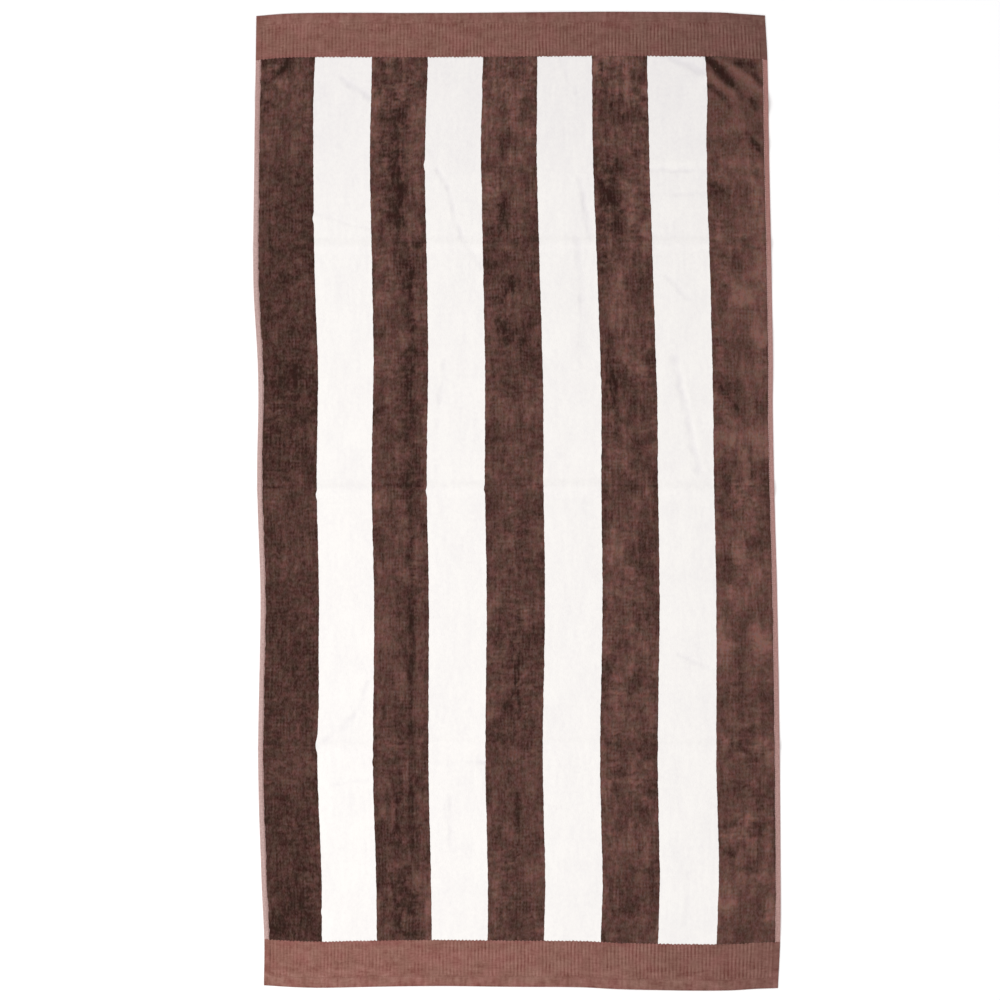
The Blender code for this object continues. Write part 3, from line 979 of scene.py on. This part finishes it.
class Nodes:
    """Adds nodes to a material. An input is a number, a colour, or another node's output."""

    def __init__(self, name):
        self.material = bpy.data.materials.new(name)
        self.material.use_nodes = True
        self.tree = self.material.node_tree
        self.shader = self.tree.nodes["Principled BSDF"]

    def put(self, node, inputs):
        for key, value in dict(inputs).items():
            if isinstance(value, bpy.types.NodeSocket):
                self.tree.links.new(value, node.inputs[key])
            else:
                node.inputs[key].default_value = value

    def add(self, kind, inputs=(), **settings):
        node = self.tree.nodes.new(kind)
        for key, value in settings.items():
            setattr(node, key, value)
        self.put(node, inputs)
        return node

    def cloth(self, along=1.0):
        """The woven place in metres, with the lengthwise one multiplied."""
        place = self.add("ShaderNodeUVMap", uv_map="Cloth").outputs["UV"]
        scaled = self.add("ShaderNodeMapping", {"Vector": place, "Scale": (1.0, along, 1.0)})
        return scaled.outputs["Vector"]

    def noise(self, scale, along=1.0, detail=2.0):
        """Noise from 0 to 1, whose lumps are lengthwise where along is under 1."""
        inputs = {"Vector": self.cloth(along), "Scale": scale, "Detail": detail}
        return self.add("ShaderNodeTexNoise", inputs).outputs["Fac"]

    def wave(self, direction, pitch, distortion=0.0):
        """Bands that follow one another across ("X") or along ("Y") the cloth, pitch apart."""
        inputs = {"Vector": self.cloth(), "Scale": pi / (10 * pitch)}
        inputs |= {"Distortion": distortion, "Detail": 1.0}
        return self.add("ShaderNodeTexWave", inputs, bands_direction=direction).outputs["Fac"]

    def weave(self, across, across_distortion, along, along_distortion):
        """Yarns both ways, the two distances apart."""
        yarns = self.wave("Y", along, along_distortion)
        return self.maths("MULTIPLY", yarns, self.wave("X", across, across_distortion))

    def attribute(self, name):
        return self.add("ShaderNodeAttribute", attribute_name=name).outputs["Fac"]

    def maths(self, operation, *values, clamp=False):
        node = self.add("ShaderNodeMath", enumerate(values), operation=operation, use_clamp=clamp)
        return node.outputs["Value"]

    def vector_maths(self, operation, *values):
        node = self.add("ShaderNodeVectorMath", enumerate(values), operation=operation)
        return node.outputs["Vector"]

    def between(self, texture, low, high):
        """A texture from 0 to 1 turned into one from low to high."""
        return self.maths("MULTIPLY_ADD", texture, high - low, low)

    def around(self, texture, size):
        """A texture from 0 to 1 turned into one from -size to size."""
        return self.between(texture, -size, size)

    def share(self, value, low, high):
        """0 where a value is low, 1 where it is high."""
        return self.maths("MULTIPLY_ADD", value, 1 / (high - low), -low / (high - low))

    def sum(self, *values):
        total = values[0]
        for value in values[1:]:
            total = self.maths("ADD", total, value)
        return total

    def mix(self, factor, first, second):
        """A colour between two others. A Mix node keeps its colours in sockets 6, 7 and 2."""
        colours = [(*c, 1.0) if isinstance(c, tuple) else c for c in (first, second)]
        inputs = {0: factor, 6: colours[0], 7: colours[1]}
        node = self.add("ShaderNodeMix", inputs, data_type="RGBA", clamp_factor=True)
        return node.outputs[2]

    def cast_mix(self, lean, cast, first, second):
        """Dark to light by lean, between two pairs of shades by cast."""
        dark, light = (self.mix(cast, *shades) for shades in zip(first, second))
        return self.mix(lean, dark, light)

    def patches(self, scale, threshold, sharpness):
        """Soft patches: 0 where the noise is below the threshold, rising to 1 above it."""
        above = self.maths("SUBTRACT", self.noise(scale), threshold)
        return self.maths("MULTIPLY", above, sharpness, clamp=True)

    def finish(self, colour, roughness, bump, distance, specular=0.2, sheen=0.0):
        normal = self.add("ShaderNodeBump", {"Distance": distance, "Height": bump}).outputs["Normal"]
        self.put(self.shader, {"Base Color": colour, "Roughness": roughness, "Normal": normal})
        self.put(self.shader, {"Specular IOR Level": specular})
        self.put(self.shader, {"Sheen Weight": sheen, "Sheen Roughness": 0.5})
        return self.material


# Each cloth's dark and light, where its cast is olive and where it is red. The borders' are those
# before their painted overall shade, and the side strips' are painted lit and shaded copies of one
# weave, those of the palest and the deepest part.
BROWN_OLIVE = ((0.0230, 0.0108, 0.0064), (0.190, 0.1010, 0.0760))
BROWN_RED = ((0.0260, 0.0074, 0.0056), (0.218, 0.0930, 0.0810))
BORDER_OLIVE = ((0.1650, 0.0404, 0.0240), (0.4010, 0.2115, 0.1640))
BORDER_RED = ((0.1830, 0.0356, 0.0251), (0.4250, 0.2005, 0.1670))
SIDE_PAINTED_LIT = ((0.420, 0.265, 0.240), (0.670, 0.485, 0.460))
SIDE_PAINTED_SHADE = ((0.300, 0.130, 0.112), (0.490, 0.240, 0.215))
WHITE = ((0.800, 0.770, 0.780), (0.905, 0.878, 0.855))
# The brown pile's fine grain is greyer than its nap: what one unit of grain adds to each colour.
GRAIN_TINT = (-0.44, 0.10, 0.52)
THREAD_LIGHT = ((0.560, 0.330, 0.300), (0.800, 0.560, 0.520))
THREAD_DARK = ((0.110, 0.045, 0.035), (0.210, 0.085, 0.065))


def brown_pile_material():
    """Cut pile whose colour follows the nap, which carries painted sheen and the painted shade and
    highlights of the folds, with fibre grain and faint red and olive casts.
    """
    made = Nodes("brown pile")
    nap = made.attribute("nap")
    fibre = made.noise(480, along=0.5)
    clump = made.noise(190, along=0.6)
    rough = made.sum(made.around(fibre, 0.50), made.around(clump, 0.50))
    rough = made.maths("MULTIPLY", rough, 0.92)
    columns = made.around(made.wave("X", 0.0057, 2.5), 0.11)
    rows = made.around(made.wave("Y", 0.0064, 2.5), 0.06)
    bands = made.maths("MULTIPLY", made.sum(columns, rows), made.patches(25, 0.42, 4.0))
    rough = made.sum(rough, bands)
    cast = made.sum(made.patches(60, 0.35, 3.3), made.around(made.noise(260), 0.5))
    lean = made.share(made.sum(nap, rough), -0.1, 1.3)
    lean = made.maths("SMOOTH_MAX", lean, 0.0, 0.2)
    colour = made.cast_mix(lean, cast, BROWN_OLIVE, BROWN_RED)
    greyer = made.vector_maths("MULTIPLY_ADD", rough, GRAIN_TINT, (1.0, 1.0, 1.0))
    colour = made.vector_maths("MULTIPLY", colour, greyer)
    roughness = made.between(fibre, 0.8, 1.0)
    return made.finish(colour, roughness, fibre, 0.0006, specular=0.1, sheen=0.08)


def white_pile_material():
    """Cut pile, almost even: the nap, which carries the painted shade of the creases and of the far
    end, the fibres and their clumps shade it a little.
    """
    made = Nodes("white pile")
    fibre = made.noise(650, along=0.4, detail=3.0)
    clump = made.noise(190, along=0.6)
    lean = made.sum(made.attribute("nap"), made.around(fibre, 0.35), made.around(clump, 0.25))
    roughness = made.between(fibre, 0.8, 1.0)
    return made.finish(made.mix(lean, *WHITE), roughness, fibre, 0.0004, specular=0.1, sheen=0.08)


def terry_material(name, shades):
    """Uncut loops of the underside, with painted shade between them."""
    made = Nodes(name)
    cells = made.add("ShaderNodeTexVoronoi", {"Vector": made.cloth(0.7), "Scale": 520})
    loops = made.maths("SUBTRACT", 1.0, cells.outputs["Distance"])
    # Painted shade between the loops: each loop is lighter at its top and darker at its edges.
    lean = made.sum(loops, made.around(made.noise(90), 0.4))
    colour = made.mix(made.between(lean, -0.4, 0.9), *shades)
    return made.finish(colour, made.between(loops, 1.0, 0.85), loops, 0.0010, sheen=0.1)


def border_material():
    """Flat weave: dark grooves and light crests of the ribs, partly painted shade, crosswise yarns and
    soft patches, all darkened by the border's painted overall shade, which deepens towards the right."""
    made = Nodes("border weave")
    weave = made.weave(0.0008, 1.0, 0.0009, 1.5)
    flecks = made.noise(420, along=0.6)
    lean = made.sum(
        made.attribute("yarn_and_painted_shade"),
        made.around(flecks, 0.40),
        made.around(weave, 0.12),
        made.around(made.noise(40, along=2.0), 0.40),
        made.around(made.noise(110, along=3.0), 0.45),
        made.around(made.noise(60, along=8.0), 0.25),
    )
    cast = made.sum(made.patches(30, 0.40, 3.5), made.attribute("red"))
    colour = made.cast_mix(made.share(lean, -0.25, 1.5), cast, BORDER_OLIVE, BORDER_RED)
    # Painted shade over the whole border, deeper towards the right.
    colour = made.vector_maths("MULTIPLY", colour, made.attribute("painted_shade_level"))
    roughness, bump = made.between(flecks, 0.44, 0.60), made.sum(weave, flecks)
    return made.finish(colour, roughness, bump, 0.0003, specular=0.35, sheen=0.05)


def side_material():
    """Plain weave of brown and white yarns, which reads as pink, with painted light: paler along the
    left edge and the near part of the right one, deeper towards the far right.
    """
    made = Nodes("side weave")
    weave = made.weave(0.0012, 1.0, 0.0016, 1.0)
    flecks = made.noise(300)
    lean = made.sum(made.around(weave, 0.3), made.around(flecks, 0.8), 0.6)
    # Painted light: the weave mixed between its shaded and its lit copy by the pale share.
    colour = made.cast_mix(lean, made.attribute("pale"), SIDE_PAINTED_SHADE, SIDE_PAINTED_LIT)
    return made.finish(colour, made.between(flecks, 0.7, 0.9), weave, 0.0004, sheen=0.05)


def thread_material(name, shades):
    """Twisted sewing thread."""
    made = Nodes(name)
    twist = made.wave("DIAGONAL", 0.0004)
    flecks = made.noise(900)
    colour = made.mix(made.sum(twist, made.around(flecks, 0.4)), *shades)
    return made.finish(colour, made.between(flecks, 0.6, 0.8), twist, 0.0001)


def floor_material():
    """Almost white, lit a little from within, so that it stays plain to the picture's edges."""
    made = Nodes("floor")
    speckle = made.add("ShaderNodeTexNoise", {"Scale": 8.0}).outputs["Fac"]
    colour = made.mix(speckle, (0.960, 0.960, 0.960), (0.975, 0.975, 0.975))
    made.put(made.shader, {"Emission Color": (1.0, 1.0, 1.0, 1.0), "Emission Strength": 0.08})
    return made.finish(colour, 0.9, speckle, 0.0)


# The towel.


def make_towel():
    """The ground, the borders, the pile and the stitches, laid as pieces on the towel's one body."""
    brown = [brown_pile_material(), terry_material("brown terry", BROWN_OLIVE)]
    white = [white_pile_material(), terry_material("white terry", WHITE)]
    border, side = [border_material()] * 2, [side_material()] * 2
    pale_thread = thread_material("pale thread", THREAD_LIGHT)
    brown_thread = thread_material("brown thread", THREAD_DARK)

    ground = add_piece(ground_mesh(), side)
    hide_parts("towel")
    ends = ("border_near", NEAR_BORDER, False), ("border_far", FAR_BORDER, True)
    parts = [add_piece(border_mesh(*end), border) for end in ends]
    for stripe in range(1, STRIPES + 1):
        materials, slot = (brown, "brown_pile") if stripe % 2 else (white, "white_pile")
        parts.append(add_piece(pile_mesh(stripe), materials))
    hems = [end_stitches(False), end_stitches(True)]
    for right, name in ((False, "stitches_left"), (True, "stitches_right")):
        beside_pile, on_borders = side_stitches(right)
        mesh = stitches_mesh(name, [beside_pile], PALE_STITCH)
        parts.append(add_piece(mesh, [pale_thread]))
        hems.append(on_borders)
    hem_mesh = stitches_mesh("stitches_hems", hems, BROWN_STITCH)
    parts.append(add_piece(hem_mesh, [brown_thread]))


# Floor, light and camera.

FLOOR_SIZE = 40.0
FLOOR_GAP = 0.0002
SKY_STRENGTH = 0.82
KEY_PLACE = (-1.7, -0.8, 2.5)
KEY_SIZE = 2.0
KEY_POWER = 34.0


def make_floor():
    bpy.ops.mesh.primitive_plane_add(size=FLOOR_SIZE, location=(0, 0, -FLOOR_GAP))
    floor = bpy.context.object
    floor.name = "floor"
    floor.data.materials.append(floor_material())


def make_light():
    world = bpy.data.worlds.new("studio")
    world.use_nodes = True
    sky = world.node_tree.nodes["Background"]
    sky.inputs["Color"].default_value = (1.0, 1.0, 1.0, 1.0)
    sky.inputs["Strength"].default_value = SKY_STRENGTH
    bpy.context.scene.world = world

    light = bpy.data.lights.new("key", "AREA")
    light.shape = "DISK"
    light.size = KEY_SIZE
    light.energy = KEY_POWER
    light.color = (1.0, 0.995, 0.985)
    key = bpy.data.objects.new("key", light)
    key.location = KEY_PLACE
    key.rotation_euler = (-Vector(KEY_PLACE)).to_track_quat("-Z", "Y").to_euler()
    bpy.context.scene.collection.objects.link(key)


def make_camera():
    data = bpy.data.cameras.new("camera")
    data.sensor_width = SENSOR
    data.lens = SENSOR * (CAMERA_HEIGHT - PILE_TOP) / FRAME_WIDTH
    data.clip_end = 100.0
    camera = bpy.data.objects.new("camera", data)
    camera.location = (*FRAME_CENTRE, CAMERA_HEIGHT)
    bpy.context.scene.collection.objects.link(camera)
    bpy.context.scene.camera = camera


bpy.context.scene.view_settings.view_transform = "Standard"
make_camera()
make_light()
make_floor()
make_towel()

bpy.context.view_layer.update()
